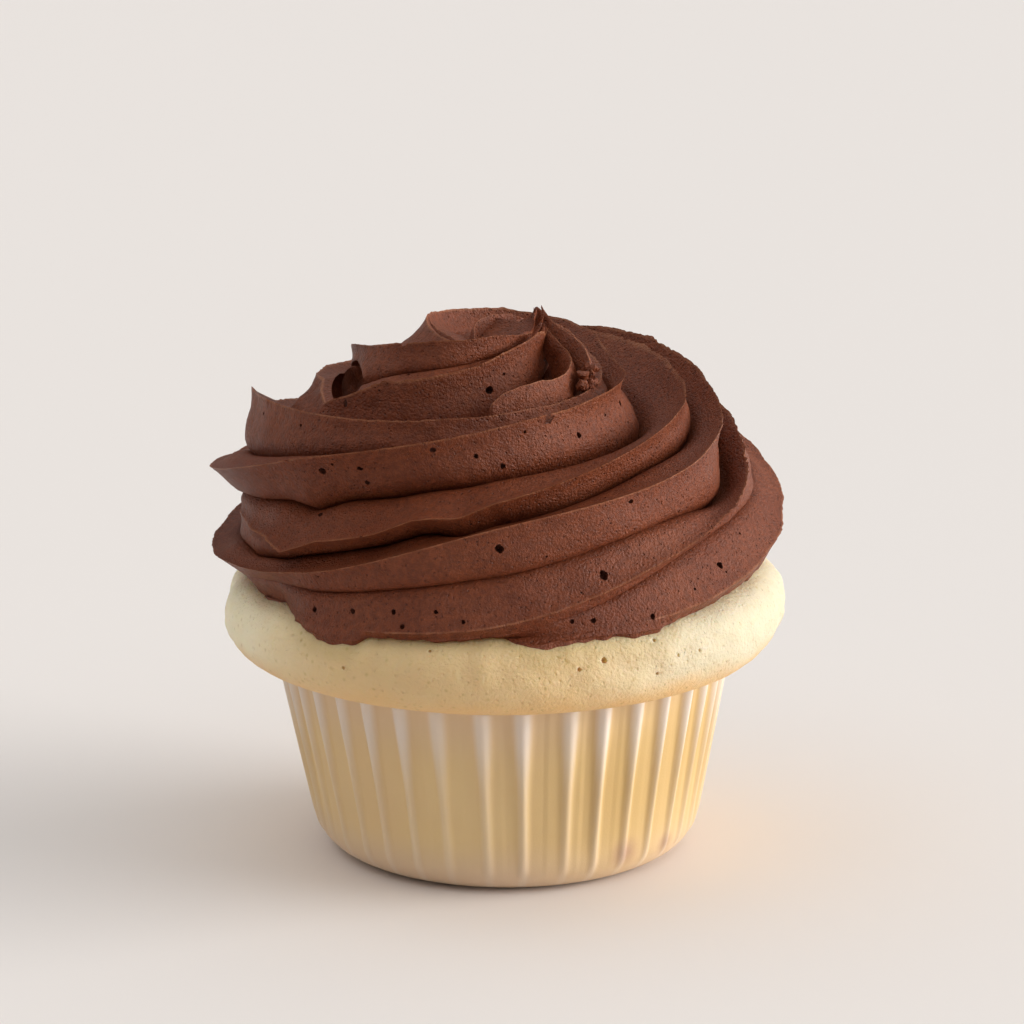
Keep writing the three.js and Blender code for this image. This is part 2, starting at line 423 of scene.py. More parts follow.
def pleats_tree():
    tree, inputs, outputs = open_group(
        "pleated case", "GeometryNodeTree",
        {"Geometry": None, "Pleats": 40, "Steps per Pleat": 14, "Rows": 70,
         "Fold Depth": 0.001, "Fold Start": 0.003, "Rim Height": 0.0275,
         "Soaked Height": 0.015, "Lean": 0.0, "Crowding": 0.0, "Seed": 1, "Material": None},
        {"Geometry": None})
    around = sums(tree, "ADD", sums(tree, "MULTIPLY", inputs["Pleats"],
                                    inputs["Steps per Pleat"]), 1)
    sheet = add(tree, "GeometryNodeMeshGrid", {
        "Size X": 1.0, "Size Y": 1.0, "Vertices X": around, "Vertices Y": inputs["Rows"]},
        output="Mesh")
    flat = axes(tree, add(tree, "GeometryNodeInputPosition"))
    angle = sums(tree, "MULTIPLY", sums(tree, "ADD", flat[0], 0.5), FULL_TURN)
    along = sums(tree, "ADD", flat[1], 0.5)
    outline = add(tree, "GeometryNodeMeshToCurve", {"Mesh": inputs["Geometry"]})
    at_row = add(tree, "GeometryNodeSampleCurve", {"Curves": outline, "Factor": along},
                 output="Position", mode="FACTOR", use_all_curves=True)
    radius, _, height = axes(tree, at_row)

    # Folds are counted round the case; they crowd together a little at two sides.
    wave = sums(tree, "SINE", sums(tree, "MULTIPLY", angle, 2.0))
    even = sums(tree, "MULTIPLY", sums(tree, "DIVIDE", angle, FULL_TURN), inputs["Pleats"])
    counted = sums(tree, "MULTIPLY_ADD", wave, inputs["Crowding"], even)
    turn = sums(tree, "WRAP", counted, inputs["Pleats"], 0.0)
    share = sums(tree, "FRACT", turn)
    which = sums(tree, "FLOOR", turn)
    uneven = random_between(tree, *FOLD_DEPTHS, ID=which, Seed=inputs["Seed"])
    crest = random_between(tree, *CREST_PLACES, ID=which,
                           Seed=sums(tree, "ADD", inputs["Seed"], 1))
    from_crest = sums(tree, "ABSOLUTE", sums(tree, "SUBTRACT", share, crest))
    width = ramp(tree, height, inputs["Soaked Height"], inputs["Rim Height"], *FOLD_WIDTHS)
    fold = ramp(tree, sums(tree, "DIVIDE", from_crest, width), 0.0, 1.0, 1.0, 0.0)
    up_wall = sums(tree, "SQRT", ramp(tree, height, inputs["Fold Start"],
                                      inputs["Rim Height"], smooth=False))
    stand = sums(tree, "MULTIPLY", sums(tree, "MULTIPLY", up_wall, uneven),
                 inputs["Fold Depth"])
    raised = sums(tree, "SUBTRACT", fold, FOLD_INWARDS)
    folded = sums(tree, "MULTIPLY_ADD", raised, stand, radius)
    lean = ramp(tree, height, 0.0, inputs["Rim Height"], 1.0, LEAN_AT_RIM, smooth=False)
    bent = add(tree, "ShaderNodeCombineXYZ", {
        "X": sums(tree, "MULTIPLY_ADD", lean, inputs["Lean"],
                  sums(tree, "MULTIPLY", folded, sums(tree, "COSINE", angle))),
        "Y": sums(tree, "MULTIPLY", folded, sums(tree, "SINE", angle)),
        "Z": height})
    # The paper stays dry on the folds, and more of it is dry near the rim.
    near_rim = ramp(tree, height, inputs["Soaked Height"], inputs["Rim Height"])
    on_fold = ramp(tree, sums(tree, "DIVIDE", from_crest, width), *DRY_ON_FOLD)
    share_dry = sums(tree, "MULTIPLY_ADD", near_rim, 1 - DRY_LOW_DOWN, DRY_LOW_DOWN)
    dry = sums(tree, "MULTIPLY", sums(tree, "MULTIPLY", on_fold, share_dry), uneven)
    rolled = add(tree, "GeometryNodeSetPosition", {
        "Geometry": store(tree, sheet, "dry", dry), "Position": bent})
    closed = add(tree, "GeometryNodeMergeByDistance", {
        "Geometry": rolled, "Distance": 0.00001})
    smooth = add(tree, "GeometryNodeSetShadeSmooth", {"Geometry": closed})
    return close_geometry(tree, smooth, inputs, outputs)


PLEATS_TREE = pleats_tree()
print("the pleat tree has", len(PLEATS_TREE.nodes), "nodes")

# %% [markdown]
# ### Buttered baking paper
#
# Soaked paper is a warm tan and slightly glossy, because the sponge shows through it.
# Dry folds are a cool white. The right side, facing the window, is tinted a darker orange,
# partly butter stains and partly painted shade; two small smudges near the base have browned.


# %% Make the paper's material
SOAKED = (0.85, 0.59, 0.285, 1)
SOAKED_DEEP = (0.80, 0.54, 0.27, 1)
DRY = (0.86, 0.72, 0.60, 1)
GREY_END = (0.76, 0.54, 0.39, 1)     # near the base and the rim the paper took less butter
# darker orange for the window side: partly butter stains, partly painted shade that tones down the
# window's light
BUTTER_AND_SHADE = (0.67, 0.43, 0.165, 1)
BUTTER_AND_SHADE_SPOTS = [[(18, -23, 15), 23], [(27, -14, 20), 15], [(32, 4, 14), 27]]
SMUDGE = (0.50, 0.29, 0.18, 1)
SMUDGES = [[(16.8, -21.5, 4.6), 3.2], [(22.6, -15.5, 4.0), 2.4]]       # [centre, reach]
GREY_BELOW = [1, 9, 0.8]        # full at this height, gone at this height, strength
GREY_ABOVE = [27, 18, 0.5]


def paper_material():
    material, tree, shader = open_material(
        "buttered paper", Roughness=0.5, Subsurface_Weight=0.25,
        Subsurface_Radius=(1, 0.8, 0.6), Subsurface_Scale=0.001)
    dry = stored(tree, "dry")
    soaked = blend_colors(tree, patches(tree, size=14.0, contrast=1.2), SOAKED, SOAKED_DEEP)
    greyness = [ramp(tree, own_height(tree), full * MM, gone * MM, strength, 0.0)
                for full, gone, strength in (GREY_BELOW, GREY_ABOVE)]
    color = blend_colors(tree, sums(tree, "ADD", *greyness), soaked, GREY_END)
    # the spots on the right are partly butter stains, partly painted shade
    color = tint_spots(tree, color, BUTTER_AND_SHADE_SPOTS, BUTTER_AND_SHADE)
    color = tint_spots(tree, color, SMUDGES, SMUDGE)
    color = blend_colors(tree, dry, color, DRY)
    fibres = grain(tree, "Height", size=0.25, pores=0.1)
    plug(tree, shader, Base_Color=color, Normal=bump(tree, fibres, 0.02))
    return material


PAPER_FINISH = paper_material()


# %% Fold the case
def make_case():
    points = [(radius, 0, height) for radius, height in case_outline()]
    edges = [(step, step + 1) for step in range(len(points) - 1)]
    case = make_object("pleated_case", points, [], edges)
    run_tree(case, PLEATS_TREE, {
        "Pleats": PLEATS, "Fold Depth": 1.0 * MM, "Fold Start": 2.4 * MM,
        "Rim Height": CASE_HEIGHT * MM, "Soaked Height": 13 * MM, "Lean": 0.7 * MM,
        "Crowding": 0.6, "Seed": 4, "Material": PAPER_FINISH})
    thick = case.modifiers.new("paper", "SOLIDIFY")
    thick.thickness = PAPER * MM
    thick.offset = -1
    return case


case = make_case()
print("case faces:", len(case.data.polygons))

# %% [markdown]
# ## The sponge
#
# The sponge fills the case and swells over its rim in a rounded lip. Its skin is pale on
# top and golden at the lip, where it baked hardest. It is one grid that is turned round
# the axis, with small waves so that no side is quite round.

# %% Measure the sponge
LIP_CENTRE_RADIUS = 32.7
LIP_HEIGHT = 33.7               # height of the middle of the lip
LIP_ROUND = 5.7
LIP_TILT = 0.021                # the sponge stands higher at the right
LIP_WOBBLE = 0.35
CROWN = 2.4                     # rise of the top from the lip to its middle
SPONGE_SIDES = 320
WALL_GAP = 1.0                  # room between the sponge and the folded paper


def lip_lift(x):
    return LIP_TILT * x


def sponge_top(radius, angle):
    """Height of the sponge's upper skin."""
    lift = LIP_HEIGHT + lip_lift(radius * np.cos(angle))
    crown = LIP_ROUND + CROWN * (1 - (radius / LIP_CENTRE_RADIUS) ** 2)
    edge = np.sqrt(np.maximum(0, LIP_ROUND ** 2 - np.maximum(0, radius - LIP_CENTRE_RADIUS) ** 2))
    return lift + np.where(radius < LIP_CENTRE_RADIUS, crown, edge)


WAVE_DIRECTIONS = 14            # waves that cross to make one noise


def waves(points, length, seed):
    """Smooth noise between about -1 and 1: sine waves that cross in random directions."""
    chance = np.random.default_rng(seed)
    total = np.zeros(len(points))
    for _ in range(WAVE_DIRECTIONS):
        direction = chance.normal(size=3)
        direction *= FULL_TURN / length / np.linalg.norm(direction)
        total += np.sin(points @ direction * chance.uniform(0.7, 1.4)
                        + chance.uniform(0, FULL_TURN))
    return total / math.sqrt(WAVE_DIRECTIONS)


def swell(points, sizes):
    """The sum of several noises, each given as [height, length, seed]."""
    return sum(rise * waves(points, length, seed) for rise, length, seed in sizes)


print("the sponge's top is", round(float(sponge_top(0.0, 0.0)), 1), "mm up")


# %% [markdown]
# ### The sponge's skin
#
# The skin is pale where it stayed soft and golden underneath the lip, where the oven
# toasted it. At the right, facing the window, it carries a darker painted shade, and at the
# front a darker tan paints the mound's shadow. Its fine pores show as darker, olive specks.

# %% Bake the sponge
SPONGE_PALE = (0.93, 0.82, 0.57, 1)
# darker skin for the right side, which faces the window: painted shade
SPONGE_WINDOW_SHADE = (0.69, 0.61, 0.43, 1)
# darker tan for the front of the lip: the mound's painted shadow
SPONGE_FRONT_SHADE = (0.77, 0.56, 0.29, 1)
SPONGE_GOLD = (0.80, 0.50, 0.21, 1)
# olive speck colour, also used as painted shade inside the pits
SPONGE_SPECK_AND_PIT_SHADE = (0.46, 0.31, 0.09, 1)
SPONGE_GREASE_AND_SHADE = (0.52, 0.36, 0.14, 1)       # beside the cream: partly its fat soaked in, partly painted shade
WINDOW_SIDE_SHADE = [(30, -12, 36), 50, 12]             # [centre, reach, full reach]
FRONT_SHADE = [(-7, -37, 33), 38, 14]
GOLD_BELOW = 29                 # below this height the skin is golden
PALE_ABOVE = 34
GOLD_WAVER = 2.0                # how much that border goes up and down
GREASE_AND_SHADE_TINT = 0.45
# how strongly the sponge's pits are painted in shade
SPONGE_PIT_PAINTED_SHADE = 0.4


def sponge_material():
    material, tree, shader = open_material(
        "sponge", Roughness=0.62, Subsurface_Weight=0.6, Subsurface_Radius=(1, 0.7, 0.4),
        Subsurface_Scale=0.005)
    uneven = sums(tree, "MULTIPLY_ADD", patches(tree, size=9.0, contrast=1.0),
                  GOLD_WAVER * MM, own_height(tree))
    # painted shade on the right, window side
    skin = tint_spots(tree, SPONGE_PALE, [WINDOW_SIDE_SHADE], SPONGE_WINDOW_SHADE)
    # the mound's painted shadow over the front of the lip
    skin = tint_spots(tree, skin, [FRONT_SHADE], SPONGE_FRONT_SHADE)
    paleness = ramp(tree, uneven, GOLD_BELOW * MM, PALE_ABOVE * MM)
    skin = blend_colors(tree, paleness, SPONGE_GOLD, skin)
    # the band beside the cream: partly fat stain, partly painted shade
    greased_and_shaded = stored(tree, "greased_and_shaded")
    skin = blend_colors(tree, sums(tree, "MULTIPLY", greased_and_shaded, GREASE_AND_SHADE_TINT), skin, SPONGE_GREASE_AND_SHADE)
    pores = grain(tree, "Pores", size=0.7, pores=0.26)
    specks = sums(tree, "MULTIPLY", pores, sums(tree, "MULTIPLY_ADD", greased_and_shaded, 0.3, 0.4))
    color = blend_colors(tree, specks, skin, SPONGE_SPECK_AND_PIT_SHADE)
    # painted shade inside the sponge's pits
    pit = stored(tree, "pit")
    color = blend_colors(tree, sums(tree, "MULTIPLY", pit, SPONGE_PIT_PAINTED_SHADE), color,
                         SPONGE_SPECK_AND_PIT_SHADE)
    crumb = grain(tree, "Height", size=0.5, pores=0.25)
    plug(tree, shader, Base_Color=color, Normal=bump(tree, crumb, 0.4, 0.9))
    return material


LIP_START = -0.62 * math.pi     # where round its section the lip leaves the case
LIP_STEPS = 60
TOP_STEPS = 40
TOP_MIDDLE = 4                  # radius of the last row, inside which triangles close the top
BELOW_RIM = 6                   # how far under the rim the hidden wall has a row
WAVES_GROW = 6                  # height over which the waves grow, from the rim upwards
SPONGE_WAVES = [[0.24, 14, 3], [0.12, 4, 5]]      # [height, length, seed]


def make_sponge():
    angles = FULL_TURN * np.arange(SPONGE_SIDES) / SPONGE_SIDES
    hidden = [(CASE_CORNER_RADIUS - CASE_CORNER_ROUND, PAPER + WALL_GAP)]
    for wall_height, height in ((CASE_CORNER_ROUND, CASE_CORNER_ROUND + WALL_GAP),
                                (CASE_HEIGHT - BELOW_RIM, CASE_HEIGHT - BELOW_RIM),
                                (CASE_HEIGHT, CASE_HEIGHT)):
        hidden.append((wall_radius(wall_height) - PAPER - WALL_GAP, height))
    rows = [on_circle(radius, angles, height) for radius, height in hidden]
    for turn in np.linspace(LIP_START, math.pi / 2, LIP_STEPS):
        bulge = LIP_WOBBLE * np.sin(3 * angles + 1) * max(0, math.cos(turn))
        radius = LIP_CENTRE_RADIUS + (LIP_ROUND + bulge) * math.cos(turn)
        rise = np.clip(math.sin(turn) + 1, 0, 1)
        height = (LIP_HEIGHT + lip_lift(radius * np.cos(angles)) * rise ** 2 * (3 - 2 * rise)
                  + LIP_ROUND * math.sin(turn))
        rows.append(on_circle(radius, angles, height))
    for radius in np.linspace(LIP_CENTRE_RADIUS, TOP_MIDDLE, TOP_STEPS)[1:]:
        rows.append(on_circle(radius, angles, sponge_top(radius, angles)))
    points = np.concatenate(rows)
    bottom, top = len(points), len(points) + 1
    last = (len(rows) - 1) * SPONGE_SIDES
    faces = grid_faces(len(rows), SPONGE_SIDES).tolist()
    for side in range(SPONGE_SIDES):
        beside = (side + 1) % SPONGE_SIDES
        faces.append((bottom, beside, side))
        faces.append((top, last + side, last + beside))
    above = np.clip((points[:, 2] - CASE_HEIGHT) / WAVES_GROW, 0, 1)
    outward = points - [0, 0, LIP_HEIGHT]
    outward /= np.linalg.norm(outward, axis=1, keepdims=True)
    points = points + outward * (swell(points, SPONGE_WAVES) * above)[:, None]
    points = np.vstack([points, [[0, 0, PAPER + WALL_GAP], [0, 0, float(sponge_top(0, 0))]]])
    sponge = make_object("sponge", points, faces)
    sponge.data.materials.append(sponge_material())
    return sponge


sponge = make_sponge()
print("sponge volume", round(volume(sponge.data), 1), "cubic centimetres")

# %% [markdown]
# ## The buttercream
#
# A star nozzle leaves four sharp ridges, and the hand winds them up round the mound, one
# level in every quarter turn. So the mound's shape follows a rule. Each outline below
# lists the crests that one upright half-plane cuts, from the lowest up. A ridge climbs
# half a level from one outline to the next, and a smooth curve joins its crests. Above
# each crest the surface folds inwards to a crease, whose depth and place are drawn too:
# where the bag moved fast the ridges lie loosely, with deep creases between them.

# %% Draw the outlines of the mound
OUTLINES = [        # [distance from the axis, height, depth of the crease above, its place]
    [[39.6, 44.6, 3.0, 0.40], [36.2, 48.4, 2.2, 0.20], [39.3, 52.6, 2.0, 0.35],
     [32.0, 57.4, 5.0, 0.40], [26.5, 64.2, 4.0, 0.45], [22.3, 65.6, 5.0, 0.45],
     [15.0, 72.8, 4.0, 0.45], [6.5, 72.8, 1.0, 0.50]],                     # back left
    [[39.6, 42.0, 2.2, 0.50], [35.3, 46.8, 1.2, 0.25], [39.9, 53.2, 3.2, 0.36],
     [33.6, 63.7, 4.5, 0.45], [25.0, 65.6, 4.2, 0.55], [22.8, 70.2, 4.0, 0.50],
     [14.3, 73.0, 3.5, 0.45]],                                             # left
    [[36.7, 38.6, 1.5, 0.57], [36.6, 45.2, 4.0, 0.55], [36.1, 49.3, 5.2, 0.50],
     [33.7, 60.5, 3.2, 0.42], [28.5, 64.7, 7.5, 0.62], [18.9, 68.3, 1.6, 0.35],
     [16.4, 73.2, 2.6, 0.62], [10.5, 71.8, 2.0, 0.50]],                     # front left
    [[36.4, 40.9, 2.2, 0.47], [35.2, 53.8, 5.0, 0.72], [32.8, 56.6, 4.3, 0.50],
     [26.1, 65.0, 3.4, 0.50], [21.9, 65.7, 6.2, 0.46], [7.0, 72.0, 1.6, 0.50],
     [3.0, 73.3, 0.4, 0.50]],                                              # front
    [[37.5, 41.2, 2.2, 0.86], [35.4, 48.8, 2.8, 0.38], [32.8, 58.0, 4.6, 0.76],
     [27.6, 61.8, 6.2, 0.35], [19.8, 67.5, 2.4, 0.50], [16.2, 66.8, 5.0, 0.55],
     [3.0, 72.3, 0.8, 0.50], [1.5, 74.2, 0.3, 0.50]],                      # front right
    [[38.6, 47.8, 1.4, 0.60], [33.4, 54.4, 6.0, -0.32], [29.6, 62.0, 5.4, 0.28],
     [24.7, 64.8, 7.4, 0.35], [13.9, 68.0, 3.4, 0.50], [11.2, 68.2, 3.0, 0.50],
     [2.5, 73.2, 0.6, 0.50]],                                              # right
    [[37.5, 44.0, 3.5, 0.40], [38.6, 54.6, 3.5, 0.35], [34.0, 60.4, 6.0, -0.25],
     [28.6, 66.2, 5.5, 0.28], [22.8, 67.2, 7.2, 0.32], [12.2, 70.5, 3.5, 0.45],
     [7.5, 71.2, 2.0, 0.50], [2.6, 73.1, 0.5, 0.50]],                      # back right
]
STATIONS = 8                    # eighths of a turn, counted from the back left
LEVELS_PER_TURN = 4
TOP_LEVEL = 8
PEAK_HEIGHT = 75.3
PEAK_SHIFT = 4.8                # how far the peak leans to the right
PEAK = np.array([PEAK_SHIFT, 0, PEAK_HEIGHT])
LEAN_START = 64
PEAK_TIP = 0.25                 # how blunt the very tip is
FOOT = [(0, 34.6), (30, 35.2), (70, 34.6), (110, 35.3), (150, 34.0), (188, 33.1),
        (204, 34.4), (210, 34.1), (216, 34.3), (224, 36.0), (229, 37.0), (235, 37.5),
        (239, 36.9), (242, 35.7), (246, 35.3), (251, 35.2), (256, 35.7), (261, 35.3),
        (264, 34.7), (268, 34.4), (271, 34.9), (274, 36.2), (277.5, 37.1), (280.5, 36.6),
        (286, 36.3), (294, 36.1), (301.5, 36.5), (305, 36.4), (308, 35.6), (310.5, 35.2),
        (317, 34.7), (326, 34.1), (334.5, 33.9), (343, 34.4), (360, 34.6)]
                                # (azimuth, radius) of the mound's edge
FOOT_RAGGED = 0.16
FOOT_WAVE = [36, 2.4, 31]       # the circle on which the ragged wave runs, its length and seed
FOOT_SINK = 0.30                # how deep the mound sits in the sponge
FOOT_CREASE = [-0.3, 0.4]       # depth and place: below 0, the mound bulges over its edge
STEEPEST = 1.3                  # deepest crease, as a share of the way between its crests
SLIMMEST = 0.34                 # and as a share of its lower crest's distance from the axis
SWIRL_SIDES = 456               # a multiple of the number of stations
BENDS = [           # [ridge, station, half width in stations, outwards, upwards]
    [0, 1.70, 0.30, -2.2, 0.0], [2, 1.18, 0.25, 0.4, 1.0], [2, 1.84, 0.20, 1.0, -1.5],
    [2, 2.56, 0.20, 0.0, 0.7], [2, 2.80, 0.16, 0.0, -0.6], [5, 1.45, 0.35, 2.4, -2.6],
    [1, 6.50, 0.70, 0.0, 1.0], [2, 6.70, 0.60, 0.0, 1.5], [4, 0.60, 0.38, -0.4, -1.3],
    [4, 1.02, 0.12, 0.4, 0.6], [3, 0.55, 0.40, -0.9, -0.6], [5, 3.10, 0.60, 0.0, 1.0],
    [6, 3.20, 0.80, 0.0, -1.4],
]


def station_angle(station):
    return FULL_TURN * (station + 3) / STATIONS


def level_at(ridge, station):
    return ridge + LEVELS_PER_TURN * (station - 1) / STATIONS


def smooth_step(low, high, value):
    share = np.clip((value - low) / (high - low), 0, 1)
    return share * share * (3 - 2 * share)


def foot_point(station):
    """Where the mound's edge lies on the sponge, as a crest with its crease."""
    angle = station_angle(station)
    azimuths, radii = zip(*FOOT)
    radius = np.interp(np.degrees(angle) % 360, azimuths, radii)
    circle, length, seed = FOOT_WAVE
    rim = on_circle(circle, angle, 0.0).reshape(-1, 3)
    radius = radius + FOOT_RAGGED * waves(rim, length, seed).reshape(radius.shape)
    height = sponge_top(radius, angle) - FOOT_SINK
    return np.array([radius, height, *(np.full_like(radius, value) for value in FOOT_CREASE)])


print(sum(len(outline) for outline in OUTLINES), "crests are drawn by hand")


# %% Wind the ridges
SWIRL_STATIONS = STATIONS * np.arange(SWIRL_SIDES) / SWIRL_SIDES
SWIRL_ANGLES = station_angle(SWIRL_STATIONS)


def station_crest(ridge, station):
    """Crest of a ridge at a whole station; the back is midway between its neighbours."""
    side = station % STATIONS
    index = math.ceil(level_at(ridge, station)) - 1
    if index < 0:
        return foot_point(station)
    if side >= len(OUTLINES):
        before = station_crest(ridge, station - 1)
        after = station_crest(ridge, station + 1)
        return (before + after) / 2
    if index >= len(OUTLINES[side]):
        return np.array([0, PEAK_HEIGHT, 0, 0.5])
    return np.array(OUTLINES[side][index], float)


def curve_through(knots, places):
    """Points on a smooth curve through its knots, where place 0 is the second knot."""
    start = np.minimum(places.astype(int), len(knots) - 4)
    share = (places - start)[:, None]
    before, here, there, after = (knots[start + offset] for offset in range(4))
    slope_in = (there - before) / 2
    slope_out = (after - here) / 2
    step = there - here
    return (here + slope_in * share + (3 * step - 2 * slope_in - slope_out) * share ** 2
            + (slope_in + slope_out - 2 * step) * share ** 3)


def crest_curve(ridge):
    """The ridge's crest all round: a smooth curve through its crests at the stations."""
    knots = np.array([station_crest(ridge, station) for station in range(-1, STATIONS + 2)])
    level = level_at(ridge, SWIRL_STATIONS)
    curve = np.where(level <= 0, foot_point(SWIRL_STATIONS),
                     curve_through(knots, SWIRL_STATIONS).T)
    for bent, centre, half_width, out, up in BENDS:
        if bent == ridge:
            swing = np.maximum(0, 1 - abs(SWIRL_STATIONS - centre) / half_width)
            curve[:2] += np.outer([out, up], swing)
    peak = np.array([[0], [PEAK_HEIGHT], [0], [0.5]])
    return np.where(level >= TOP_LEVEL, peak, curve)


def eased(count):
    """Shares from 0 to 1 that crowd together at both ends."""
    return (1 - np.cos(math.pi * np.arange(count) / count)) / 2


LEDGE_STEPS = 7
FACE_STEPS = 13
STRIP_STEPS = LEDGE_STEPS + FACE_STEPS
FLARE = 0.07                    # how much a face bulges under its flared crest
SLOT = 0.28                     # the narrow end of a crease, as a share of its depth
SLOT_REACH = 0.14
LEDGE_HOLLOW = 0.85             # below 1, a ledge falls steeply from its crest


def strip_rows(lower, upper):
    """Rows of points between two crests: along a ledge to the crease, then up a face."""
    out, up = (upper - lower)[:2]
    width = np.maximum(np.hypot(out, up), 1e-9)
    depth = np.minimum(np.minimum(lower[2], STEEPEST * width), SLIMMEST * lower[0])
    place = lower[3]
    for step in range(STRIP_STEPS):
        if step < LEDGE_STEPS:
            climb = eased(LEDGE_STEPS)[step]
            share, from_crease = place * climb, 1 - climb
        else:
            climb = eased(FACE_STEPS)[step - LEDGE_STEPS]
            share, from_crease = place + (1 - place) * climb, climb
        slot = SLOT * max(0, 1 - from_crease / SLOT_REACH) ** 2
        descent = (1 - from_crease) ** (LEDGE_HOLLOW if step < LEDGE_STEPS else 1)
        descent += slot - FLARE * math.sin(FULL_TURN * from_crease)
        yield (lower[0] + out * share - up / width * depth * descent,
               lower[1] + up * share + out / width * depth * descent,
               np.full_like(width, from_crease))


def wind_mound():
    """All the mound's points, row by row along the ridges from the foot to the peak."""
    rows, sharpness = [], []
    lower = crest_curve(-LEVELS_PER_TURN)
    for ridge in range(-LEVELS_PER_TURN, TOP_LEVEL + 1):
        upper = crest_curve(ridge + 1)
        for radius, height, near_crest in strip_rows(lower, upper):
            row = on_circle(radius, SWIRL_ANGLES, height)
            row[:, 0] += PEAK_SHIFT * smooth_step(LEAN_START, PEAK_HEIGHT, height)
            rows.append(row)
            sharpness.append(near_crest)
        lower = upper
    points = np.array(rows)
    points[np.linalg.norm(points - PEAK, axis=-1) < PEAK_TIP] = PEAK
    return points, np.array(sharpness)


mound, near_crest = wind_mound()
print("the mound has", mound.shape[0], "rows of", mound.shape[1], "points")


# %% Close the mound
def mound_faces(rows):
    """Faces along the ridges. Past a full turn, a row goes on as the row one turn up."""
    step = LEVELS_PER_TURN * STRIP_STEPS
    faces = []
    for row in range(rows - 1):
        here = row * SWIRL_SIDES + np.arange(SWIRL_SIDES)
        above = here + SWIRL_SIDES
        beside = np.append(here[1:], (row + step) * SWIRL_SIDES)
        above_beside = np.append(above[1:], (row + 1 + step) * SWIRL_SIDES)
        faces.append(np.stack([here, beside, above_beside, above], axis=1))
    faces = np.concatenate(faces)
    return faces[(faces < rows * SWIRL_SIDES).all(axis=1)]


def round_axis(points):
    """Each point's distance from the axis, and its direction from it."""
    return np.hypot(points[:, 0], points[:, 1]), np.arctan2(points[:, 1], points[:, 0])


def above_sponge(points):
    """Height of each point above the sponge's skin."""
    return points[:, 2] - sponge_top(*round_axis(points))


MIDDLE_HEIGHT = 45              # the roughness pushes points away from here
CREAM_WAVES = [[0.13, 9, 11], [0.05, 3.5, 12], [0.03, 1.3, 13]]       # [height, length, seed]
RAGGED_STRETCHES = [16, 14]     # length and seed of the stretches with torn crests
RAGGED_ELSEWHERE = 0.4
TEETH = [0.14, 1.2, 15]         # [height, length, seed] of the teeth along a crest
CALM_TOP = (66, 70)             # between these heights the teeth get smaller
CALM = 0.7                      # by this share
EDGE_ONLY = 10                  # the greater this power, the nearer to the crest they stay
UPRIGHT = [1, 1, 0.3]           # teeth are stretched upwards
ROUGH_ABOVE = (0, 2.5)          # heights over the sponge between which roughness sets in
ROUGH_AWAY = (0, 3)             # and distances from the peak
HIGHLIGHTED_ABOVE = (0.3, 2)          # heights over the sponge between which the painted crest highlight sets in


def roughened(points, near_crest):
    """Moves the points a little, as whipped cream never leaves a nozzle quite smooth."""
    around = points - [0, 0, MIDDLE_HEIGHT]
    outward = around / np.maximum(np.linalg.norm(around, axis=1, keepdims=True), 1)
    ragged = np.maximum(0, waves(points, *RAGGED_STRETCHES)) + RAGGED_ELSEWHERE
    low_down = 1 - CALM * smooth_step(*CALM_TOP, points[:, 2])
    tall, length, seed = TEETH
    teeth = (tall * ragged * low_down * near_crest ** EDGE_ONLY
             * waves(points * UPRIGHT, length, seed))
    from_peak = np.linalg.norm(points - PEAK, axis=1)
    free = smooth_step(*ROUGH_ABOVE, above_sponge(points)) * smooth_step(*ROUGH_AWAY, from_peak)
    return points + outward * ((swell(points, CREAM_WAVES) + teeth) * free)[:, None]


def mark(mesh, name, values):
    """Stores a number for each point, which a material can read."""
    mesh.attributes.new(name, "FLOAT", "POINT").data.foreach_set("value", values)


UNDER_RINGS = (1, 0.97, 0.9, 0.75, 0.5, 0.25, 0)        # radii, as shares of the foot's


def make_buttercream():
    points = roughened(mound.reshape(-1, 3), near_crest.reshape(-1))
    foot = foot_point(SWIRL_STATIONS)[0]
    # the crest share carries the painted highlight along the crests
    free_crest = near_crest.reshape(-1) * smooth_step(*HIGHLIGHTED_ABOVE, above_sponge(points))
    crest_share = np.concatenate([free_crest, np.zeros(len(UNDER_RINGS) * SWIRL_SIDES)])
    rings = [on_circle(foot * share, SWIRL_ANGLES,
                       sponge_top(foot * share, SWIRL_ANGLES) - FOOT_SINK)
             for share in UNDER_RINGS]
    under = grid_faces(len(rings), SWIRL_SIDES)[:, ::-1] + len(points)
    piece = make_object("buttercream", np.vstack([points, *rings]),
                        np.vstack([mound_faces(len(mound)), under]))
    mark(piece.data, "crest", crest_share)
    return piece


buttercream = make_buttercream()
print("raw buttercream:", len(buttercream.data.polygons), "faces")

# %% Weld the mound
import bmesh
from mathutils import Vector

WELD_REACH = 0.002              # points nearer to each other than this become one


def weld(piece, distance=WELD_REACH):
    """Merges points that coincide, and drops the faces that shrink to nothing."""
    work = bmesh.new()
    work.from_mesh(piece.data)
    bmesh.ops.remove_doubles(work, verts=work.verts, dist=distance * MM)
    bmesh.ops.dissolve_degenerate(work, edges=work.edges, dist=distance * MM / 10)
    bmesh.ops.recalc_face_normals(work, faces=work.faces)
    open_edges = sum(not edge.is_manifold for edge in work.edges)
    for face in work.faces:
        face.smooth = True
    work.to_mesh(piece.data)
    work.free()
    return open_edges


print("open edges after welding:", weld(buttercream))
print("buttercream:", len(buttercream.data.polygons), "faces, volume",
      round(volume(buttercream.data), 1))


# %% [markdown]
# ### The torn peak
#
# Where the nozzle was pulled away, the last ridges end in thin fins that lean over to the
# right, with a few torn lumps between them. A fin is one section, a blunt wedge with a
# sharp crest, that is swept along its path. It grows out of the mound, so that the two
# are joined into one body. Hollows are cut out first: two at the peak, and two that open
# the deep fold behind the upper left ridge.

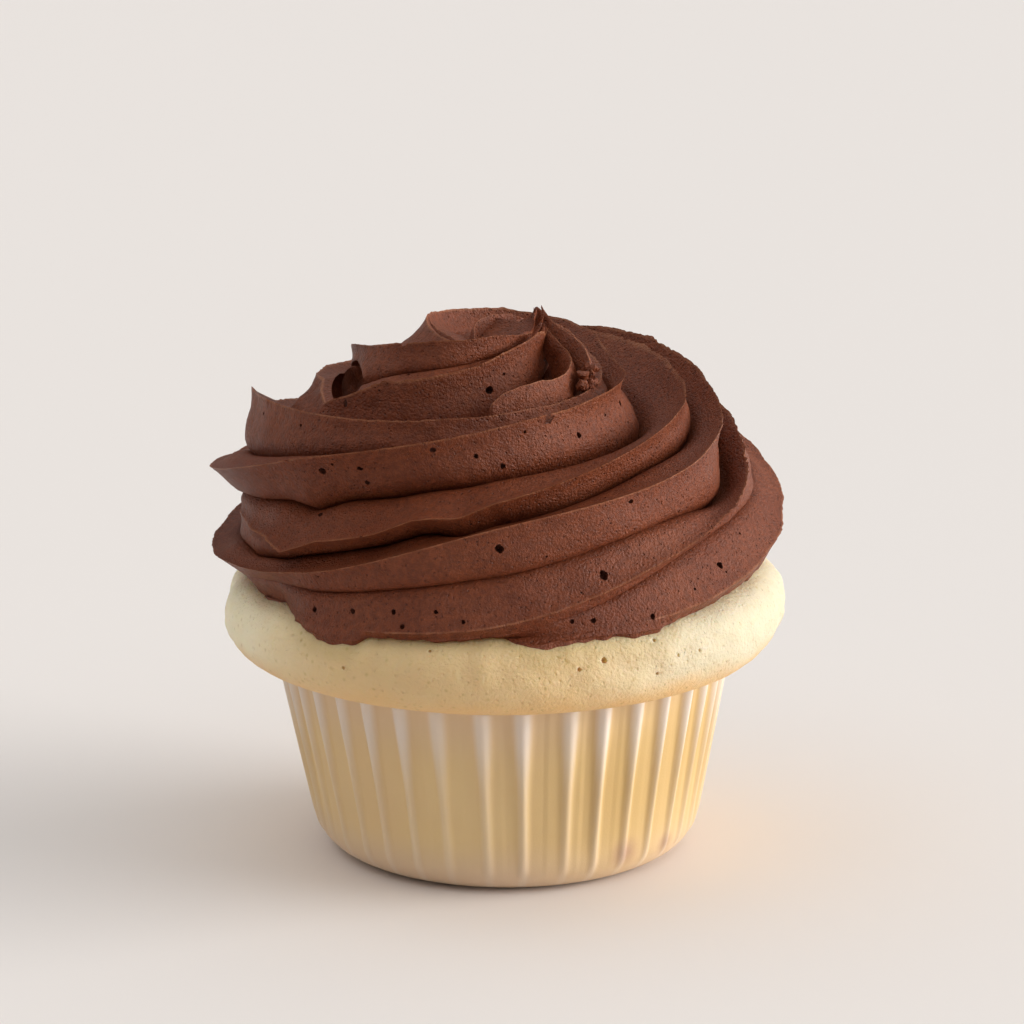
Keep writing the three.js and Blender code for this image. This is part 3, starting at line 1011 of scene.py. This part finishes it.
# %% Sweep the fins
FINS = {            # [x, y, height, size] along each crest
    "front fin": [[-1.5, -19.5, 65.0, 0.5], [-1.3, -19.4, 66.3, 0.75], [-0.4, -18.9, 67.1, 0.9],
                  [0.9, -18.3, 67.9, 1.0], [4.4, -16.7, 68.7, 1.0], [8.0, -13.4, 68.8, 1.0],
                  [9.3, -8.6, 69.5, 1.0], [8.9, -5.6, 70.3, 0.95], [7.9, -3.4, 71.2, 0.8],
                  [6.5, -1.8, 72.2, 0.6], [5.3, -0.8, 73.5, 0.4], [4.4, -0.2, 75.3, 0.12]],
    "back fin": [[12.2, -11.0, 68.8, 0.6], [11.8, -9.0, 69.7, 0.8], [11.2, -6.5, 70.8, 0.8],
                 [10.1, -4.5, 71.7, 0.7], [8.9, -3.0, 72.2, 0.6], [7.8, -1.7, 72.9, 0.45],
                 [6.7, -0.8, 73.7, 0.3], [5.9, -0.2, 74.5, 0.2], [5.4, 0.2, 75.5, 0.06]],
    "left curl": [[-5.5, -6.5, 71.3, 0.4], [-6.6, -4.5, 71.9, 0.5], [-7.9, -2.5, 72.2, 0.6],
                  [-9.0, 0.3, 72.5, 0.6], [-9.8, 4.0, 72.8, 0.6], [-9.2, 8.0, 72.8, 0.5],
                  [-7.0, 11.0, 72.4, 0.4]],
    "inner curl": [[-3.6, -2.5, 71.3, 0.3], [-3.7, -0.5, 72.3, 0.4], [-3.3, 1.5, 72.9, 0.5],
                   [-2.0, 3.5, 73.2, 0.5], [0.0, 5.0, 73.2, 0.4], [2.2, 5.8, 72.7, 0.3],
                   [4.0, 5.6, 71.8, 0.2]],
}
FIN_SECTION = np.array([[0, 0], [0.3, -0.3], [0.55, -1.0], [0.8, -2.0], [1.0, -3.4],
                        [1.1, -5.0], [-2.0, -5.0], [-1.5, -3.4], [-1.1, -2.0],
                        [-0.7, -1.0], [-0.3, -0.3]])          # outwards and upwards
FIN_STEPS = 110
FIN_WAVES = [[0.12, 3.5, 21], [0.06, 1.2, 22]]          # [height, length, seed]
FIN_ROUGHNESS = 0.6


def sweep_fin(name, knots):
    """A section swept along a smooth path through the knots, whose ends go straight on."""
    knots = np.array(knots, float)
    padded = np.vstack([2 * knots[0] - knots[1], knots, 2 * knots[-1] - knots[-2]])
    path = curve_through(padded, np.linspace(0, len(knots) - 1, FIN_STEPS))
    along = np.gradient(path[:, :2], axis=0)
    along /= np.linalg.norm(along, axis=1, keepdims=True)
    outward = np.stack([along[:, 1], -along[:, 0], np.zeros(FIN_STEPS)], axis=1)
    section = FIN_SECTION * path[:, 3, None, None]
    rings = (path[:, None, :3] + section[:, :, :1] * outward[:, None]
             + section[:, :, 1:] * np.array([0, 0, 1]))
    points = rings.reshape(-1, 3)
    points = points + swell(points, FIN_WAVES)[:, None] * FIN_ROUGHNESS
    count = len(FIN_SECTION)
    faces = grid_faces(FIN_STEPS, count).tolist()
    last = (FIN_STEPS - 1) * count
    faces += [tuple(range(count))[::-1], tuple(range(last, last + count))]
    fin = make_object(name, points, faces)
    # the crest share carries the painted highlight along the fin's crest
    share = np.tile(np.maximum(0, 1 + FIN_SECTION[:, 1] / 3), FIN_STEPS)
    mark(fin.data, "crest", share)
    return fin


def tear_lump(centre, size, seed, torn=1.0, detail=4):
    """A torn lump of cream: a ball that waves have pushed out of shape."""
    work = bmesh.new()
    bmesh.ops.create_icosphere(work, subdivisions=detail, radius=1)
    ball = np.array([list(vert.co) for vert in work.verts])
    faces = [[vert.index for vert in face.verts] for face in work.faces]
    work.free()
    reach = 1 + torn * swell(ball + seed, [[0.28, 1.6, seed], [0.12, 0.6, seed]])
    return make_object("lump", np.array(centre) + ball * reach[:, None] * size, faces)


def join(piece, parts, operation="UNION"):
    """Adds the parts to the piece or cuts them out of it, and removes them."""
    for part in parts:
        weld(part)
        modifier = piece.modifiers.new(part.name, "BOOLEAN")
        modifier.operation = operation
        modifier.solver = "MANIFOLD"
        modifier.object = part
        bake(piece)
        bpy.data.objects.remove(part)
    print(len(parts), operation.lower(), "->", len(piece.data.loop_triangles), "triangles, volume",
          round(volume(piece.data), 2))


FIRST_LUMP_SEED = 40
HOLLOW_SEED = 60
HOLLOWS = [[(-2.2, -1.6, 74.6), (7.0, 6.6, 4.0)], [(0.8, 5.5, 75.8), (5.6, 4.6, 2.6)],
           [(-20.0, -3.2, 63.8), (3.2, 7.4, 4.5)],
           [(-19.4, 7.0, 62.4), (2.8, 9.0, 4.6)]]        # [centre, half sizes]
LUMPS = [[(11.1, -11.0, 68.2), 0.9], [(11.9, -9.4, 68.8), 0.85], [(10.7, -12.4, 67.3), 0.8],
         [(12.0, -11.4, 67.4), 0.7]]
fins = [sweep_fin(name, knots) for name, knots in FINS.items()]
lumps = [tear_lump(centre, size, FIRST_LUMP_SEED + number, detail=3)
         for number, (centre, size) in enumerate(LUMPS)]
hollows = [tear_lump(centre, size, HOLLOW_SEED, torn=0.2) for centre, size in HOLLOWS]
join(buttercream, hollows, "DIFFERENCE")
join(buttercream, fins + lumps)


# %% [markdown]
# ### Pits
#
# Whipping beats air into the cream, and the nozzle opens some of the bubbles. The largest
# pits are listed one by one, and the many small ones are scattered by a rule.

# %% Scatter the small pits
PITS = [            # [x, y, height, size] of the large ones
    [-23.6, -22.7, 57.9, 0.53], [-18.6, -24.9, 58.9, 0.38], [-8.9, -27.2, 62.1, 0.40],
    [6.2, -23.1, 65.3, 0.69], [-1.4, -12.5, 66.8, 0.56], [-0.2, -34.5, 50.8, 0.62],
    [13.4, -32.0, 46.6, 0.62], [16.9, -28.5, 55.5, 0.38], [-24.4, -25.9, 40.1, 0.38],
    [-19.3, -30.0, 41.1, 0.38], [-14.0, -32.6, 41.8, 0.35], [-8.5, -34.5, 42.3, 0.30],
    [-12.8, -33.8, 40.1, 0.38], [-4.9, -35.7, 41.3, 0.30], [-24.2, -21.5, 52.3, 0.44],
    [29.0, -20.7, 44.8, 0.50], [19.8, -30.8, 40.7, 0.43], [12.1, -33.6, 40.8, 0.38],
    [-13.0, -9.6, 72.3, 0.35], [-3.3, -26.7, 61.2, 0.33], [-17.7, -25.0, 56.9, 0.33],
    [0.2, -26.2, 59.7, 0.40], [10.4, -20.5, 62.6, 0.40], [9.2, -34.0, 40.9, 0.33],
    [16.4, -10.3, 64.5, 0.38]]
PIT_STRETCH = 1.7               # how much deeper than wide a pit is


def pits_tree():
    tree, inputs, outputs = open_group(
        "small pits", "GeometryNodeTree",
        {"Geometry": None, "Most per Square Metre": 9000.0, "Apart": 0.003,
         "Smallest": 0.0001, "Largest": 0.0002, "Lowest": 0.04, "Stretch": 1.5, "Seed": 1,
         "Material": None},
        {"Geometry": None})
    height = axes(tree, add(tree, "GeometryNodeInputPosition"))[2]
    high = add(tree, "FunctionNodeCompare", {"A": height, "B": inputs["Lowest"]},
               data_type="FLOAT", operation="GREATER_THAN")
    spots = add(tree, "GeometryNodeDistributePointsOnFaces", {
        "Mesh": inputs["Geometry"], "Selection": high, "Distance Min": inputs["Apart"],
        "Density Max": inputs["Most per Square Metre"], "Seed": inputs["Seed"]},
        output="Points", distribute_method="POISSON")
    turned = switched_on(spots.node.outputs, "Rotation")
    ball = add(tree, "GeometryNodeMeshIcoSphere", {"Radius": 1.0, "Subdivisions": 2},
               output="Mesh")
    size = random_between(tree, inputs["Smallest"], inputs["Largest"], Seed=inputs["Seed"])
    scale = add(tree, "ShaderNodeCombineXYZ", {
        "X": size, "Y": size, "Z": sums(tree, "MULTIPLY", size, inputs["Stretch"])})
    # each pit's faces carry the mark that the material paints in shade
    placed = add(tree, "GeometryNodeInstanceOnPoints", {
        "Points": spots, "Instance": store(tree, ball, "pit", 1.0), "Rotation": turned,
        "Scale": scale})
    return close_geometry(tree, placed, inputs, outputs)


small_pits = bpy.data.objects.new("small_pits", buttercream.data.copy())
bpy.context.scene.collection.objects.link(small_pits)
run_tree(small_pits, pits_tree(), {
    "Apart": 3.2 * MM, "Smallest": 0.12 * MM, "Largest": 0.23 * MM, "Lowest": 41 * MM,
    "Stretch": PIT_STRETCH, "Seed": 7})
BALL_FACES = 80                 # of a ball that was subdivided twice
print("small pits:", len(small_pits.data.polygons) // BALL_FACES)


# %% Cut the pits
FIRST_PIT_SEED = 80


def large_pit(piece, place, size, seed):
    """A torn ball, stretched inwards and outwards, at the surface's point nearest to a place."""
    _, at, normal, _ = piece.closest_point_on_mesh(Vector(place) * MM)
    pit = tear_lump((0, 0, 0), size, seed, torn=0.6, detail=3)
    points = mesh_points(pit.data)
    points += (PIT_STRETCH - 1) * np.outer(points @ normal, normal) + np.array(at)
    pit.data.vertices.foreach_set("co", points.reshape(-1))
    # the mark tells the material to paint shade inside the pit
    mark(pit.data, "pit", np.ones(len(points)))
    return pit


def drop_flakes(piece):
    """Removes the loose flat flakes that cutting can leave: faces on the very same points."""
    work = bmesh.new()
    work.from_mesh(piece.data)
    faces_on = {}
    for face in work.faces:
        faces_on.setdefault(frozenset(face.verts), []).append(face)
    flakes = [face for faces in faces_on.values() if len(faces) > 1 for face in faces]
    bmesh.ops.delete(work, geom=flakes, context="FACES")
    work.to_mesh(piece.data)
    work.free()
    return len(flakes)


large_pits = [large_pit(buttercream, place, size, FIRST_PIT_SEED + number)
              for number, (*place, size) in enumerate(PITS)]
join(buttercream, [small_pits, *large_pits], "DIFFERENCE")
print("flakes removed:", drop_flakes(buttercream))

# %% Open the sponge's pores
SPONGE_PITS = [     # [x, y, height, size]
    [13.5, -35.5, 36.1, 0.42], [10.2, -36.9, 35.2, 0.28], [20.1, -31.3, 37.6, 0.26],
    [20.7, -32.3, 33.1, 0.24], [23.4, -30.3, 35.2, 0.24], [-20.4, -32.4, 34.1, 0.24],
    [-9.2, -35.8, 37.3, 0.24], [26.1, -28.0, 35.2, 0.20]]
FIRST_PORE_SEED = 110
GREASE_AND_SHADE_TOP = (LIP_HEIGHT, LIP_HEIGHT + 2)      # heights between which the grease and painted shade show
GREASE_AND_SHADE_BAND = (0.2, 2.6)                       # and distances outside the cream's edge

sponge_place = mesh_points(sponge.data) / MM
from_axis, turned = round_axis(sponge_place)
cream_edge = foot_point(turned / FULL_TURN * STATIONS - 3)[0]
on_top = smooth_step(*GREASE_AND_SHADE_TOP, sponge_place[:, 2])
near_cream = 1 - smooth_step(*GREASE_AND_SHADE_BAND, from_axis - cream_edge)
# a band beside the cream for the grease stain and the painted shade
mark(sponge.data, "greased_and_shaded", on_top * near_cream)
join(sponge, [large_pit(sponge, place, size, FIRST_PORE_SEED + number)
              for number, (*place, size) in enumerate(SPONGE_PITS)], "DIFFERENCE")


# %% Whip the buttercream's material
COCOA = (0.182, 0.038, 0.0095, 1)
COCOA_LIGHT = (0.228, 0.056, 0.018, 1)
# dark pore colour, also used as painted shade inside the pits
COCOA_PORE_AND_PIT_SHADE = (0.06, 0.011, 0.003, 1)
# pale orange of the painted highlight along the crests
COCOA_CREST_HIGHLIGHT = (0.36, 0.135, 0.06, 1)
SANDY = [0.35, 0.65, 0.4, 0.0]          # grain heights from and to, and the dark tint there
CREST_HIGHLIGHT = [0.95, 0.99, 0.0, 0.75]    # how far up a face from and to, and the tint of the painted highlight
PORE_TINT = 0.5
# how strongly the inside of a pit is painted in shade
PIT_PAINTED_SHADE = 0.85
SHARP_ANGLE = math.radians(38)          # a fold sharper than this shows as an edge


def buttercream_material():
    material, tree, shader = open_material(
        "chocolate buttercream", Roughness=0.46, Specular_IOR_Level=0.32)
    pores, height = (grain(tree, output, size=0.35, pores=0.24)
                     for output in ("Pores", "Height"))
    fine = grain(tree, "Height", size=0.8, pores=0.0)
    cocoa = blend_colors(tree, patches(tree, size=10.0, contrast=1.2), COCOA, COCOA_LIGHT)
    sandy = blend_colors(tree, ramp(tree, fine, *SANDY), cocoa, COCOA_PORE_AND_PIT_SHADE)
    grainy = blend_colors(tree, sums(tree, "MULTIPLY", pores, PORE_TINT), sandy, COCOA_PORE_AND_PIT_SHADE)
    crest = stored(tree, "crest")
    # a painted highlight along the crests, broken into patches
    highlight_patches = patches(tree, size=3.0, contrast=2.0)
    edge = sums(tree, "MULTIPLY", ramp(tree, crest, *CREST_HIGHLIGHT),
                sums(tree, "MULTIPLY_ADD", highlight_patches, 0.6, 0.4))
    color = blend_colors(tree, edge, grainy, COCOA_CREST_HIGHLIGHT)
    # painted shade inside the pits
    pit = stored(tree, "pit")
    color = blend_colors(tree, sums(tree, "MULTIPLY", pit, PIT_PAINTED_SHADE), color, COCOA_PORE_AND_PIT_SHADE)
    plug(tree, shader, Base_Color=color, Normal=bump(tree, height, 0.36))
    return material


buttercream.data.materials.clear()
buttercream.data.materials.append(buttercream_material())
buttercream.data.set_sharp_from_angle(angle=SHARP_ANGLE)

# %% [markdown]
# ## Hand the pieces to the frame
#
# Each piece rides on the only body and stands for its imported node, which is hidden.

# %% Name what each piece stands for
for piece, node in ((case, "paper_case"), (sponge, "cake"), (buttercream, "frosting")):
    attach(piece, "root")
    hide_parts(node)
    print(piece.name, "stands for", node)

# %% [markdown]
# ## Floor and light
#
# The floor is a wide, pale sheet that fills the view. A large, soft window stands low at
# the right, so that every ledge throws its shadow to the left. A still softer ceiling, a
# weak wall at the left and a faint sky fill those shadows.

# %% Lay the floor
FLOOR = (0.79, 0.755, 0.73, 1)
FLOOR_REACH = 3000
floor = make_object("floor", [(-FLOOR_REACH, -FLOOR_REACH, 0), (FLOOR_REACH, -FLOOR_REACH, 0),
                              (FLOOR_REACH, FLOOR_REACH, 0), (-FLOOR_REACH, FLOOR_REACH, 0)],
                    [(0, 1, 2, 3)])
floor.data.materials.append(open_material("pale table", Base_Color=FLOOR, Roughness=0.8)[0])

# %% Light the table
LIGHTS = {          # direction towards the light, strength, softness in degrees, colour
    "window": [(0.99, -0.03, 0.10), 5.2, 50, (1.0, 0.975, 0.95)],
    "ceiling": [(0.22, 0.13, 0.97), 1.8, 120, (1.0, 0.985, 0.97)],
    "wall": [(-0.87, 0.0, 0.5), 0.7, 90, (1.0, 0.985, 0.975)],
}
SKY = [(1.0, 0.985, 0.975, 1), 0.12]                    # colour, strength

for name, (direction, strength, softness, color) in LIGHTS.items():
    light_data = bpy.data.lights.new(name, "SUN")
    light_data.energy = strength
    light_data.angle = math.radians(softness)
    light_data.color = color
    light = bpy.data.objects.new(name, light_data)
    light.rotation_euler = Vector(direction).to_track_quat("Z", "Y").to_euler()
    bpy.context.scene.collection.objects.link(light)

world = bpy.data.worlds.new("sky")
world.use_nodes = True
sky = next(node for node in world.node_tree.nodes if node.type == "BACKGROUND")
sky.inputs["Color"].default_value, sky.inputs["Strength"].default_value = SKY
bpy.context.scene.world = world
bpy.context.scene.view_settings.view_transform = "Standard"
print("lights:", ", ".join(LIGHTS))
